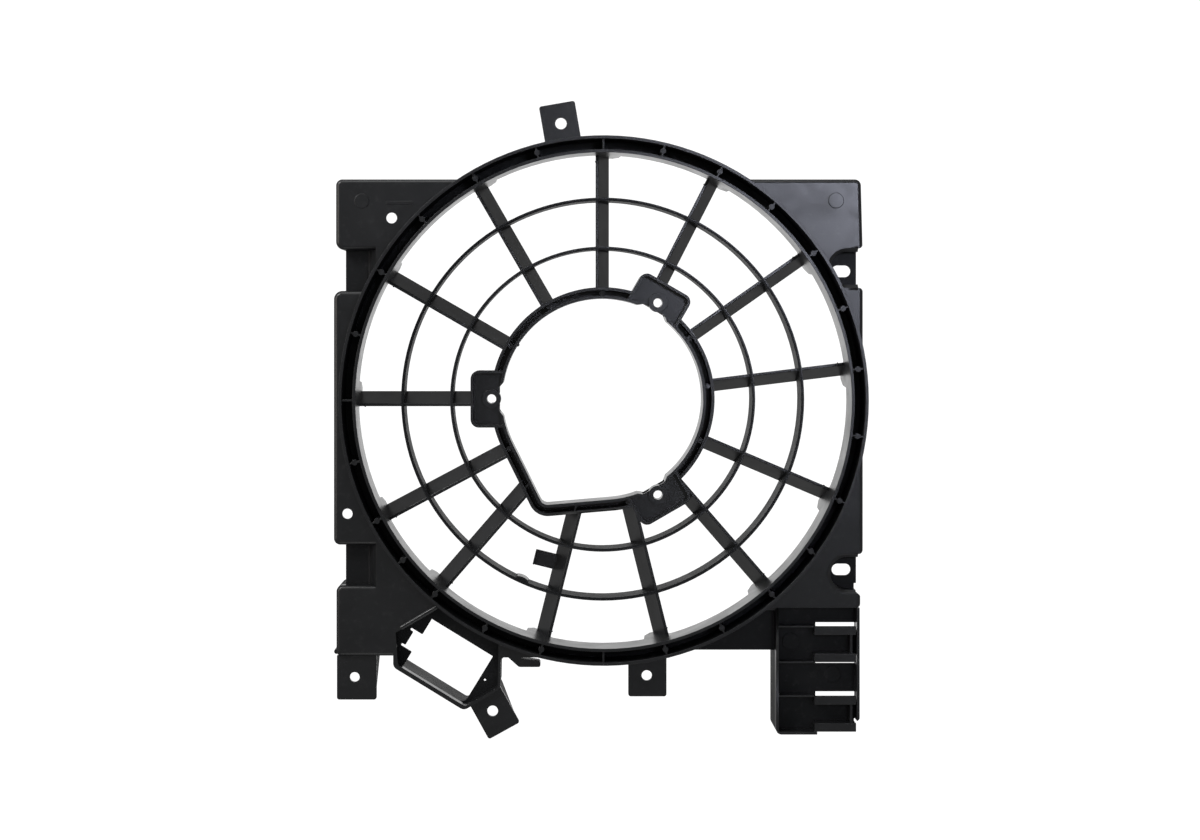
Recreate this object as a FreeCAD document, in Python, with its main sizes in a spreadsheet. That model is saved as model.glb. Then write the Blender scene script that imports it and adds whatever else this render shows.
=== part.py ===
import FreeCAD, Part
import math
import os
import Sketcher
from FreeCAD import Placement, Rotation, Vector

# Radiator fan shroud, millimetres.
# X runs to the right and Z up as seen from the engine side, Y runs away from the
# viewer towards the radiator. The origin is the centre of the motor's bolt circle,
# on the plane of the three boss faces.

doc = FreeCAD.newDocument("RadiatorFanShroud")
sheet = doc.addObject("Spreadsheet::Sheet", "Sizes")
nodes = {}


class Size:
    """A length or angle: its number now, and the sheet expression that makes it."""

    def __init__(self, text, value):
        self.text = text
        self.value = value

    def __add__(self, other):
        return joined(self, "+", other)

    def __radd__(self, other):
        return joined(other, "+", self)

    def __sub__(self, other):
        return joined(self, "-", other)

    def __rsub__(self, other):
        return joined(other, "-", self)

    def __mul__(self, other):
        return joined(self, "*", other)

    def __rmul__(self, other):
        return joined(other, "*", self)

    def __truediv__(self, other):
        return joined(self, "/", other)

    def __neg__(self):
        return Size("(0 - %s)" % self.text, -self.value)


def as_size(number):
    if isinstance(number, Size):
        return number
    if number < 0:
        return Size("(0 - %s)" % -number, float(number))
    return Size("%s" % number, float(number))


def joined(left, sign, right):
    left = as_size(left)
    right = as_size(right)
    results = {
        "+": left.value + right.value,
        "-": left.value - right.value,
        "*": left.value * right.value,
    }
    if sign == "/":
        results["/"] = left.value / right.value
    return Size("(%s %s %s)" % (left.text, sign, right.text), results[sign])


def cosine(angle):
    return Size("cos(%s)" % angle.text, math.cos(math.radians(angle.value)))


def sine(angle):
    return Size("sin(%s)" % angle.text, math.sin(math.radians(angle.value)))


def cell(alias, value, note):
    """Write one driving size into the sheet and return it."""
    cell.row += 1
    sheet.set("A%d" % cell.row, note)
    sheet.set("B%d" % cell.row, str(value))
    sheet.setAlias("B%d" % cell.row, alias)
    return Size("Sizes.%s" % alias, float(value))


cell.row = 0

# Levels along Y, counted from the motor boss faces
ringFront = cell("ringFront", -30.0, "front edge of the fan ring")
panelFront = cell("panelFront", -16.0, "front face of the panels")
tabFront = cell("tabFront", -12.5, "front face of the fixing tabs")
recessFront = cell("recessFront", -6.0, "floor of recesses, ears and relay bracket")
grilleFront = cell("grilleFront", -4.0, "front of vanes, guard rings and motor ring")
grilleRear = cell("grilleRear", 19.0, "rear of vanes, guard rings and motor ring")
rimRear = cell("rimRear", 20.0, "rear edge of the rim walls, at the radiator")

# Walls
skin = cell("skin", 2.5, "thickness of panel plates and floors")
rimWall = cell("rimWall", 2.0, "thickness of rim walls")
cornerRound = cell("cornerRound", 3.2, "rounding along the panels' front edges")
panelCorner = cell("panelCorner", 4.5, "corner radius of the panels")
recessCorner = cell("recessCorner", 6.0, "corner radius of a panel beside a recess")
stubCorner = cell("stubCorner", 3.4, "corner radius of a panel beside an ear")
past = cell("cutterReach", 6.0, "how far a cutter runs past the faces that it cuts")

# Fan ring
boreRadius = cell("boreRadius", 175.0, "inner radius of the fan opening")
ringWall = cell("ringWall", 2.2, "wall of the ring's two hoops and floor")
channelWidth = cell("channelWidth", 7.6, "clear width of the ring's channel")
ringRibThickness = cell("ringRibThickness", 1.4, "thickness of a rib in the channel")
ringRibSetback = cell("ringRibSetback", 1.2, "rib front behind the ring's front edge")
ringPostRadius = cell("ringPostRadius", 2.1, "radius of the ejector post in a ring rib")

# Vanes
vaneDirections = (7, 35, 63, 90, 120, 150, 180, 208, 229, 256, 284, 311, 337)
vaneAngles = [
    cell("vaneAngle%s" % "ABCDEFGHIJKLM"[number], angle, "vane %d from +X to +Z" % (number + 1))
    for number, angle in enumerate(vaneDirections)
]
vaneLean = cell("vaneLean", 8.2, "sideways shift of a vane from front to rear")
vaneWidth = cell("vaneWidth", 2.2, "width of a vane across its section")
rootReach = cell("rootReach", 13.0, "reach of a vane root past the vane, at the ring")
rootNear = cell("rootNear", 6.2, "reach of a vane root on the vane's front side")
rootDepth = cell("rootDepth", 14.0, "depth of the broad part of a vane root")
rootSlope = cell("rootSlope", 5.5, "narrowing of a vane root towards its rear")
rootTaper = cell("rootTaper", 1.0, "narrowing of the broad part of a vane root")

# Guard rings
outerGuardRadius = cell("outerGuardRadius", 144.9, "outer radius of the outer guard ring")
innerGuardRadius = cell("innerGuardRadius", 109.7, "outer radius of the inner guard ring")
guardWall = cell("guardWall", 2.2, "thickness of the guard rings")
lapDepth = cell("lapDepth", 11.5, "depth of a guard ring where a vane passes behind it")

# Motor ring and its lugs
motorRadius = cell("motorRadius", 80.5, "outer radius of the motor ring")
motorBand = cell("motorBand", 8.2, "width of the motor ring")
motorFloor = cell("motorFloor", 2.2, "thickness of the motor ring's floor")
motorRibSetback = cell("motorRibSetback", 2.5, "rib front behind the motor ring's front")
motorPostRadius = cell("motorPostRadius", 1.9, "radius of the ejector post in a motor rib")
cornerAngle = cell("cornerAngle", 240.6, "direction of the ring's drawn-out corner")
cornerReach = cell("cornerReach", 80.5, "distance of the corner's arc centre")
cornerRadius = cell("cornerRadius", 14.0, "outer radius of the corner's arc")
boltInset = cell("boltInset", 0.5, "bolt circle inside the motor ring's outer face")
motorHole = cell("motorHoleRadius", 3.3, "radius of the motor bolt holes, M6 clear")
bossRadius = cell("bossRadius", 6.75, "radius of the bosses round those holes")
bossRear = cell("bossRear", 12.0, "rear face of those bosses")
lugAngles = [
    cell("lugAngleUpper", 60, "direction of the upper motor lug"),
    cell("lugAngleLeft", 180, "direction of the left motor lug"),
    cell("lugAngleLower", 300, "direction of the lower motor lug"),
]
lugLength = cell("lugLength", 14.5, "reach of a lug past the motor ring")
lugHalfWidth = cell("lugHalfWidth", 20.5, "half the width of a lug")
lugRound = cell("lugRound", 6.0, "outer corner radius of a lug")
lugFloorFront = cell("lugFloorFront", 2.5, "front of a lug's floor")
lugMouth = cell("lugMouth", 12.2, "half the gap in the ring's inner wall at a lug")
lugMouthFoot = cell("lugMouthFoot", 8.3, "half the width of that gap's foot")
lugMouthNear = cell("lugMouthNear", 9.3, "that gap's start inside the ring's outer face")
lugMouthFar = cell("lugMouthFar", 6.1, "that gap's foot inside the ring's outer face")

# Outline of the panels, taken from the ring's outer face
topDrop = cell("topDrop", 29.8, "top edge of the upper panels below the ring's top")
leftTopOut = cell("leftTopOut", 3.5, "left edge of the upper left panel past the ring")
leftMiddleOut = cell("leftMiddleOut", 5.0, "left edge of the middle left panel past the ring")
leftBottomOut = cell("leftBottomOut", 3.2, "left edge of the lower left panel past the ring")
recessInset = cell("recessInset", 2.6, "left edge of both recesses inside the ring's reach")
recessSlopeFoot = cell("recessSlopeFoot", 17.0, "width of a recess floor")
recessSlope = cell("recessSlope", 5.5, "width of the slope beside a recess floor")
upperRecessDrop = cell("upperRecessDrop", 50.4, "top of the upper left recess below the top edge")
upperRecessHeight = cell("upperRecessHeight", 29.2, "height of the upper left recess")
lowerRecessRise = cell("lowerRecessRise", 50.3, "lower left recess above the panel's bottom edge")
lowerRecessHeight = cell("lowerRecessHeight", 28.9, "height of the lower left recess")
jointRise = cell("jointRise", 12.0, "lower left panel's strip past its recess")
leftBottomRise = cell("leftBottomRise", 4.3, "bottom edge of the left panel above the ring's")
rightTopInset = cell("rightTopInset", 3.0, "right edge of the upper right panel, at its top")
rightTopLean = cell("rightTopLean", 1.3, "how far that edge leans out at its bottom")
rightMiddleInset = cell("rightMiddleInset", 1.6, "right edge of the middle right panels")
rightBottomInset = cell("rightBottomInset", 3.4, "right edge of the lower right panel")
ledgeRise = cell("ledgeRise", 38.8, "bottom edge of the lower right panel above the ring's")
deepRise = cell("deepRise", 7.2, "bottom edge of the deep lower right plate")

# Slotted ears on the right
earOut = cell("earOut", 10.5, "centre of the upper ear's round end past the ring")
earBearing = cell("earBearing", 28.36, "direction of that centre from +X to +Z")
earCentreInset = cell("earCentreInset", 8.0, "centre of an ear's round end from its edge")
lowerEarRise = cell("lowerEarRise", 24.3, "middle of the lower ear above the panel's edge")
earRadius = cell("earRadius", 14.0, "radius of an ear's pocket at its front")
earSlope = cell("earSlope", 2.4, "width and depth of the slope round that pocket")
earSlotInset = cell("earSlotInset", 2.7, "middle of an ear's slot from the round end's centre")
upperSlotDrop = cell("upperSlotDrop", 2.0, "upper ear's slot below the ear's middle")
lowerSlotRise = cell("lowerSlotRise", 1.7, "lower ear's slot above the ear's middle")
slotLength = cell("slotLength", 13.6, "length of the ear slots")
slotRadius = cell("slotRadius", 4.2, "half the width of the ear slots")

# Holes through the panels, from the panel's left edge
topLeftHoleIn = cell("topLeftHoleIn", 39.9, "hole in the upper left panel")
topLeftHoleDrop = cell("topLeftHoleDrop", 27.7, "that hole below the top edge")
topLeftHoleRadius = cell("topLeftHoleRadius", 3.85, "radius of that hole")
leftHoleIn = cell("leftHoleIn", 9.9, "hole in the middle left panel")
leftHoleRise = cell("leftHoleRise", 22.3, "that hole above the panel's bottom edge")
leftHoleRadius = cell("leftHoleRadius", 3.65, "radius of that hole")

# Fixing tabs
tabPlate = cell("tabPlate", 3.0, "thickness of the tab plates")
tabRound = cell("tabRound", 1.8, "corner radius of the tabs")
gussetWall = cell("gussetWall", 2.0, "thickness of the gussets behind the tabs")
gussetRear = cell("gussetRear", 16.0, "rear of the gussets where they are deepest")
gussetShort = cell("gussetShort", 9.0, "distance of a gusset's point from the tab's end")

# Resistor frame: a tilted rectangular opening in a deep frame
frameOut = cell("frameOut", 12.75, "upper left corner of the opening past the ring")
frameBearing = cell("frameBearing", 232.14, "direction of that corner from +X to +Z")
frameTilt = cell("frameTilt", 31.45, "tilt of the opening")
openingLength = cell("openingLength", 51.4, "length of the resistor opening")
openingHeight = cell("openingHeight", 39.0, "height of the resistor opening")
frameWall = cell("frameWall", 3.0, "lower wall of the resistor frame")
frameRound = cell("frameRound", 5.0, "corner radius of the resistor frame")
frameLeftShort = cell("frameLeftShort", 5.9, "frame past the opening, lower left")
frameLeftLong = cell("frameLeftLong", 19.2, "frame past the opening, upper left")
frameLeftDrop = cell("frameLeftDrop", 20.1, "drop of the frame's upper left corner")
frameRightShort = cell("frameRightShort", 1.8, "frame past the opening, lower right")
frameRightLong = cell("frameRightLong", 15.8, "frame past the opening, upper right")
frameRightDrop = cell("frameRightDrop", 15.5, "drop of the frame's right corner")
frameTopShort = cell("frameTopShort", 7.2, "frame's end under the ring, short of the opening")
frameTopRise = cell("frameTopRise", 23.7, "rise of the frame's end under the ring")
frameShoulder = cell("frameShoulder", 19.5, "rise of the frame's left shoulder")
latchReach = cell("latchReach", 6.5, "depth of the latch notch beside the opening")
latchTop = cell("latchTop", 13.0, "top of the latch notch below the opening's top")
latchHeight = cell("latchHeight", 14.8, "height of the latch notch")
latchSlit = cell("latchSlit", 2.0, "height of the slits that free the latch")
latchSlitReach = cell("latchSlitReach", 9.3, "reach of those slits")
latchRound = cell("latchRound", 0.8, "corner radius of the notch and the slits")
openingCorner = cell("openingCorner", 4.0, "corner radius of the opening, lower right")
framePinX = cell("framePinX", 55.3, "locating hole beside the opening")
framePinDrop = cell("framePinDrop", 17.5, "locating hole beside the opening")
framePinRadius = cell("framePinRadius", 0.9, "locating hole beside the opening")

# Relay bracket
bracketInset = cell("bracketInset", 4.2, "right edge of the relay bracket inside the ring's")
bracketWidth = cell("bracketWidth", 59.6, "width of the relay bracket")
bracketHeight = cell("bracketHeight", 90.3, "height of the relay bracket")
bracketWallRise = cell("bracketWallRise", 9.6, "lower end of its right wall above its bottom")
bracketCorner = cell("bracketCorner", 4.0, "rounding of its lower corners")
railLength = cell("railLength", 29.7, "length of the relay rails")
railInset = cell("railInset", 2.5, "right end of the rails inside the bracket's edge")
railDrop = cell("railDrop", 13.2, "top of the upper pair of rails below the bracket's top")
railSpan = cell("railSpan", 25.5, "width over a pair of rails")
railPitch = cell("railPitch", 49.6, "distance from pair to pair")
railLip = cell("railLip", 6.1, "width of a rail's lip")
railLipThickness = cell("railLipThickness", 2.2, "thickness of a rail's lip")
railStem = cell("railStem", 2.0, "thickness of a rail's stem")
railGapAbove = cell("railGapAbove", 1.4, "opening of the floor above a pair's upper lip")
railGapBelow = cell("railGapBelow", 2.6, "opening of the floor below a pair's lower lip")
bracketRib = cell("bracketRib", 1.2, "thickness of the bracket's cross ribs")
bracketRibRise = cell("bracketRibRise", 7.0, "height of the cross ribs over the floor")

# Cable fixings
clipShift = cell("clipShift", 2.1, "cable clip inside the middle between the guard rings")
clipLength = cell("clipLength", 11.2, "length of the cable clip along its vane")
clipReach = cell("clipReach", 19.9, "reach of the cable clip from its vane's middle")
clipThickness = cell("clipThickness", 3.0, "thickness of the cable clip")
hookDepth = cell("hookDepth", 8.0, "depth of the cable hook")
hookLeft = cell("hookLeft", -73.0, "left edge of the cable hook")
hookRight = cell("hookRight", -44.6, "free end of the cable hook")
hookRise = cell("hookRise", 3.4, "lower edge of the cable hook's root inside the ring's")
hookDrop = cell("hookDrop", 3.4, "lower edge of the cable hook's finger past the ring's")
hookNeck = cell("hookNeck", 5.5, "root of the hook ahead of its slope")
hookSlope = cell("hookSlope", 7.5, "width of that slope")
hookWall = cell("hookWall", 2.3, "width of the finger's root")
hookFinger = cell("hookFinger", 4.4, "height of the finger at its free end")
hookFingerRoot = cell("hookFingerRoot", 6.2, "height of the finger at its root")
hookFoot = cell("hookFoot", 2.0, "fillet between the hook's root and the frame")
hookBend = cell("hookBend", 3.0, "radius of the hook's bends")
hookRound = cell("hookRound", 1.5, "corner radius of the finger's end")


def tab_sizes(name, note, **values):
    """The sizes of one fixing tab, about its hole: its end points down when Turn is 0."""
    return {key: cell(name + key, value, "%s, %s" % (note, key.lower()))
            for key, value in values.items()}


bottomLeftTab = tab_sizes("bottomLeftTab", "bottom left tab", In=12.9, Turn=0,
                          Left=12.7, Right=15.6, Root=15.5, Reach=16.1, Radius=3.5)
bottomTab = tab_sizes("bottomTab", "bottom tab", Out=12.47, Bearing=279.03, Turn=0,
                      Left=13.2, Right=14.1, Root=20.0, Reach=15.0, Radius=3.7)
topTab = tab_sizes("topTab", "top tab", Out=12.47, Bearing=98.65, Turn=170.2,
                   Left=12.4, Right=13.5, Root=20.0, Reach=14.5, Radius=4.1)
resistorTab = tab_sizes("resistorTab", "resistor tab", Past=19.73, Short=6.66, Turn=-28.9,
                        Left=12.2, Right=13.1, Root=13.0, Reach=16.5, Radius=3.85)

sheet.recompute()

ringRadius = boreRadius + ringWall + channelWidth + ringWall
channelInner = boreRadius + ringWall
channelOuter = ringRadius - ringWall
channelRear = grilleFront
channelFloor = channelRear - ringWall
recessRear = recessFront + skin
panelRear = panelFront + skin
lugFloorRear = lugFloorFront + skin
boltRadius = motorRadius - boltInset
lugReach = motorRadius + lugLength
inland = boreRadius / 2     # well inside the ring, where the ring's space cuts all away
hub = motorRadius / 2       # well inside the motor opening, in the same way

topEdge = ringRadius - topDrop
leftTop = -(ringRadius + leftTopOut)
leftMiddle = -(ringRadius + leftMiddleOut)
leftBottom = -(ringRadius + leftBottomOut)
leftBottomEdge = leftBottomRise - ringRadius
recessLeft = recessInset - ringRadius
recessFoot = recessLeft + recessSlopeFoot
recessHead = recessFoot + recessSlope
upperRecessTop = topEdge - upperRecessDrop
upperRecessBottom = upperRecessTop - upperRecessHeight
lowerRecessBottom = leftBottomEdge + lowerRecessRise
lowerRecessTop = lowerRecessBottom + lowerRecessHeight
jointTop = lowerRecessTop + jointRise
rightTop = ringRadius - rightTopInset
rightMiddle = ringRadius - rightMiddleInset
rightBottom = ringRadius - rightBottomInset
ledgeEdge = ledgeRise - ringRadius
deepBottom = deepRise - ringRadius

earX = (ringRadius + earOut) * cosine(earBearing)
earEdge = earX + earCentreInset
earOuter = earRadius + rimWall
upperEarZ = (ringRadius + earOut) * sine(earBearing)
lowerEarZ = ledgeEdge + lowerEarRise
earSlotX = earX - earSlotInset
upperSlotZ = upperEarZ - upperSlotDrop
lowerSlotZ = lowerEarZ + lowerSlotRise

frameX = (ringRadius + frameOut) * cosine(frameBearing)
frameZ = (ringRadius + frameOut) * sine(frameBearing)
bracketRight = ringRadius - bracketInset
bracketLeft = bracketRight - bracketWidth
bracketBottom = ledgeEdge - bracketHeight
railEnd = bracketRight - railInset
railStart = railEnd - railLength
railTop = ledgeEdge - railDrop


def bind(thing, **values):
    """Set properties to sizes; a double underscore stands for a dot."""
    for name, size in values.items():
        thing.setExpression(name.replace("__", "."), as_size(size).text)
    return thing


def box(name, x, y, z):
    """A block from low to high corner; each of x, y and z is a pair of sizes."""
    block = doc.addObject("Part::Box", name)
    bind(block, Length=x[1] - as_size(x[0]), Width=y[1] - as_size(y[0]),
         Height=z[1] - as_size(z[0]))
    bind(block, Placement__Base__x=x[0], Placement__Base__y=y[0], Placement__Base__z=z[0])
    return block


def disc(name, radius, front, rear, x=0, z=0):
    """A cylinder along Y."""
    rod = doc.addObject("Part::Cylinder", name)
    rod.Placement = Placement(Vector(), Rotation(Vector(1, 0, 0), -90))
    bind(rod, Radius=radius, Height=rear - as_size(front))
    bind(rod, Placement__Base__x=x, Placement__Base__y=front, Placement__Base__z=z)
    return rod


def cut(name, base, *tools):
    """The base without the tools."""
    tool = tools[0] if len(tools) == 1 else group(name + "Tools", tools)
    result = doc.addObject("Part::Cut", name)
    result.Base = base
    result.Tool = tool
    return result


def common(name, base, tool):
    result = doc.addObject("Part::Common", name)
    result.Base = base
    result.Tool = tool
    return result


def fuse(name, *things):
    result = doc.addObject("Part::MultiFuse", name)
    result.Shapes = list(things)
    result.Refine = True
    return result


def group(name, things):
    """Separate solids kept together, as a tool or as a node of repeated pieces."""
    result = doc.addObject("Part::Compound", name)
    result.Links = list(things)
    return result


def tube(name, outer, inner, front, rear):
    return cut(name, disc(name + "Outside", outer, front, rear),
               disc(name + "Inside", inner, front - past, rear + past))


def turn(thing, angle, radius=0, x=0, z=0):
    """Turn a piece about Y from +X towards +Z, after moving it out by radius."""
    thing.Placement = Placement(Vector(), Rotation(Vector(0, -1, 0), 10))
    bind(thing, Placement__Rotation__Angle=angle)
    bind(thing, Placement__Base__x=x + radius * cosine(as_size(angle)),
         Placement__Base__z=z + radius * sine(as_size(angle)))
    return thing


def plane_of(body, role):
    return [item for item in body.Origin.OriginFeatures if item.Role == role][0]


def polygon(sketch, points):
    """A closed outline of straight lines, each corner tied to its two sizes."""
    corners = [Vector(as_size(x).value, as_size(z).value, 0) for x, z in points]
    for number, corner in enumerate(corners):
        following = corners[(number + 1) % len(corners)]
        sketch.addGeometry(Part.LineSegment(corner, following), False)
    for number in range(len(points)):
        following = (number + 1) % len(points)
        sketch.addConstraint(Sketcher.Constraint("Coincident", number, 2, following, 1))
    for number, point in enumerate(points):
        for kind, size in zip(("DistanceX", "DistanceY"), point):
            size = as_size(size)
            rule = Sketcher.Constraint(kind, -1, 1, number, 1, size.value)
            index = sketch.addConstraint(rule)
            sketch.setExpression("Constraints[%d]" % index, size.text)


def belt(sketch, big, small):
    """The outline of a band round a large arc at the origin and a small corner arc."""
    turn_angle = math.degrees(math.acos((big.value - small.value) / cornerReach.value))
    low = math.radians(cornerAngle.value - turn_angle)
    high = math.radians(cornerAngle.value + turn_angle)
    away = math.radians(cornerAngle.value)
    centre = Vector(math.cos(away), math.sin(away), 0) * cornerReach.value
    up = Vector(0, 0, 1)
    ends = {angle: Vector(math.cos(angle), math.sin(angle), 0) for angle in (low, high)}
    sketch.addGeometry(Part.ArcOfCircle(Part.Circle(Vector(), up, big.value),
                                        high, low + 2 * math.pi), False)
    sketch.addGeometry(Part.LineSegment(ends[low] * big.value,
                                        centre + ends[low] * small.value), False)
    sketch.addGeometry(Part.ArcOfCircle(Part.Circle(centre, up, small.value),
                                        low, high), False)
    sketch.addGeometry(Part.LineSegment(centre + ends[high] * small.value,
                                        ends[high] * big.value), False)
    sketch.addConstraint(Sketcher.Constraint("Coincident", 0, 3, -1, 1))
    bound = [
        (Sketcher.Constraint("Radius", 0, big.value), big),
        (Sketcher.Constraint("Radius", 2, small.value), small),
        (Sketcher.Constraint("DistanceX", -1, 1, 2, 3, centre.x),
         cornerReach * cosine(cornerAngle)),
        (Sketcher.Constraint("DistanceY", -1, 1, 2, 3, centre.y),
         cornerReach * sine(cornerAngle)),
    ]
    for rule, size in bound:
        index = sketch.addConstraint(rule)
        sketch.setExpression("Constraints[%d]" % index, size.text)
    for first, second in ((0, 1), (1, 2), (2, 3), (3, 0)):
        sketch.addConstraint(Sketcher.Constraint("Tangent", first, 2, second, 1))


def prism(name, outline, front, rear):
    """A body padded along Y from front to rear; outline draws in a sketch."""
    body = doc.addObject("PartDesign::Body", name)
    sketch = body.newObject("Sketcher::SketchObject", name + "Outline")
    sketch.AttachmentSupport = [(plane_of(body, "XZ_Plane"), "")]
    sketch.MapMode = "FlatFace"
    outline(sketch)
    bind(sketch, AttachmentOffset__Base__z=-as_size(front))
    pad = body.newObject("PartDesign::Pad", name + "Pad")
    pad.Profile = sketch
    pad.Reversed = True
    bind(pad, Length=rear - as_size(front))
    return body


def round_corners(body, radius, chosen):
    """Round those edges of a body for which chosen(edge) holds."""
    doc.recompute()
    base = body.Tip
    names = [
        "Edge%d" % (number + 1)
        for number, edge in enumerate(base.Shape.Edges)
        if chosen(edge)
    ]
    rounding = body.newObject("PartDesign::Fillet", body.Name + "Rounding")
    rounding.Base = (base, names)
    bind(rounding, Radius=radius)
    return body


def along_depth(edge):
    """True for a straight edge that runs along Y."""
    low, high = edge.Vertexes[0].Point, edge.Vertexes[-1].Point
    return abs(low.x - high.x) < 0.01 and abs(low.z - high.z) < 0.01


def upright_at(*places):
    """Choose the edges along Y that stand at the given places."""

    def chosen(edge):
        point = edge.Vertexes[0].Point
        return along_depth(edge) and any(
            abs(point.x - as_size(x).value) < 0.05 and abs(point.z - as_size(z).value) < 0.05
            for x, z in places
        )

    return chosen


def rectangle(x, z):
    return [(x[0], z[0]), (x[1], z[0]), (x[1], z[1]), (x[0], z[1])]


def node(name, thing):
    """Keep a finished piece under the name of its file."""
    thing.Label = name
    nodes[name] = thing
    return thing


# Shapes that several pieces share as cutters
behind = rimRear + past
ringSpace = disc("RingSpace", ringRadius, ringFront - past, behind)


def make_fan_ring():
    """The ring is a channel that opens forwards; behind each vane end it has a root."""
    body = doc.addObject("PartDesign::Body", "RingChannel")
    sketch = body.newObject("Sketcher::SketchObject", "RingSection")
    sketch.AttachmentSupport = [(plane_of(body, "XY_Plane"), "")]
    sketch.MapMode = "FlatFace"
    polygon(sketch, [
        (boreRadius, ringFront), (channelInner, ringFront),
        (channelInner, channelFloor), (channelOuter, channelFloor),
        (channelOuter, ringFront), (ringRadius, ringFront),
        (ringRadius, channelRear), (boreRadius, channelRear),
    ])
    turned = body.newObject("PartDesign::Revolution", "RingTurned")
    turned.Profile = sketch
    turned.ReferenceAxis = (sketch, ["V_Axis"])
    turned.Angle = 360
    node("fan_ring", body)

    roots = []
    for number, angle in enumerate(vaneAngles):
        broad = vane_root("RootBroad%d" % number, channelRear, channelRear + rootDepth)
        roots.append(swing(fuse("Root%d" % number, broad, root_stem("RootStem%d" % number)),
                           angle))
    hoop = tube("RootHoop", channelInner, boreRadius, channelRear, grilleRear)
    node("vane_roots", common("VaneRoots", hoop, group("RootBlanks", roots)))

    angles = []
    for number, angle in enumerate(vaneAngles):
        following = vaneAngles[(number + 1) % len(vaneAngles)]
        wrap = 360 if number == len(vaneAngles) - 1 else 0
        angles.append(angle)
        angles.append((angle + following + wrap) / 2)
    # Every rib but the top, left and bottom ones has an ejector post in its middle
    plain = (6, 12, 19)
    middle = channelInner + channelWidth / 2
    ribFront = ringFront + ringRibSetback
    ribs = []
    for number, angle in enumerate(angles):
        rib = box("RingRib%d" % number, (channelInner - past, channelOuter + past),
                  (ribFront, channelFloor), (-ringRibThickness / 2, ringRibThickness / 2))
        if number not in plain:
            post = disc("RingPost%d" % number, ringPostRadius, ribFront, channelFloor, middle)
            rib = fuse("RingPosted%d" % number, rib, post)
        ribs.append(swing(rib, angle))
    channel = tube("RingChannelSpace", channelOuter, channelInner, ringFront, channelFloor)
    node("fan_ring_ribs", common("FanRingRibs", group("RingRibBlanks", ribs), channel))


def swing(block, angle):
    """Turn a block that was made along +X about the Y axis, from +X towards +Z."""
    carrier = group(block.Name + "Turned", [block])
    return turn(carrier, angle)


def vane_root(name, front, rear):
    """The broad part of a vane root, tapering towards the rear."""
    wedge = doc.addObject("Part::Wedge", name)
    bind(wedge, Xmin=boreRadius - past, Xmax=channelInner + past,
         X2min=boreRadius - past, X2max=channelInner + past,
         Ymin=front, Ymax=rear,
         Zmin=-rootReach, Zmax=rootNear,
         Z2min=rootTaper - rootReach, Z2max=vaneWidth / 2)
    return wedge


def root_stem(name):
    """The part of a vane root that follows the vane to its rear edge."""
    wedge = doc.addObject("Part::Wedge", name)
    bind(wedge, Xmin=boreRadius - past, Xmax=channelInner + past,
         X2min=boreRadius - past, X2max=channelInner + past,
         Ymin=channelRear + rootDepth, Ymax=grilleRear,
         Zmin=rootTaper - rootReach, Zmax=vaneWidth / 2,
         Z2min=rootSlope - rootReach, Z2max=(vaneWidth - vaneLean) / 2)
    return wedge


def make_skirts():
    """Where the ring passes the panels' edges, a wall closes the space behind it."""
    def skirt(name, label, x, z):
        hoop = tube(name + "Hoop", ringRadius, channelOuter, channelRear, rimRear)
        part = box(name + "Part", x, (channelRear - past, behind), z)
        node(label, common(name, hoop, part))

    wide = ringRadius + past
    skirt("SkirtTop", "skirt_top", (-wide, wide), (topEdge - rimWall, wide))
    skirt("SkirtRight", "skirt_right", (rightMiddle - rimWall, wide), (lowerEarZ, upperEarZ))
    skirt("SkirtBottom", "skirt_bottom", (hookLeft, bracketLeft), (-wide, deepBottom + rimWall))


def vane_blank(name, angle):
    """A vane leans in depth, so its section is a parallelogram."""
    wedge = doc.addObject("Part::Wedge", name)
    bind(wedge, Xmin=hub, Xmax=ringRadius, X2min=hub, X2max=ringRadius,
         Ymin=grilleFront, Ymax=grilleRear,
         Zmin=(vaneLean - vaneWidth) / 2, Zmax=(vaneLean + vaneWidth) / 2,
         Z2min=(-vaneLean - vaneWidth) / 2, Z2max=(vaneWidth - vaneLean) / 2)
    return turn(wedge, angle)


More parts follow.
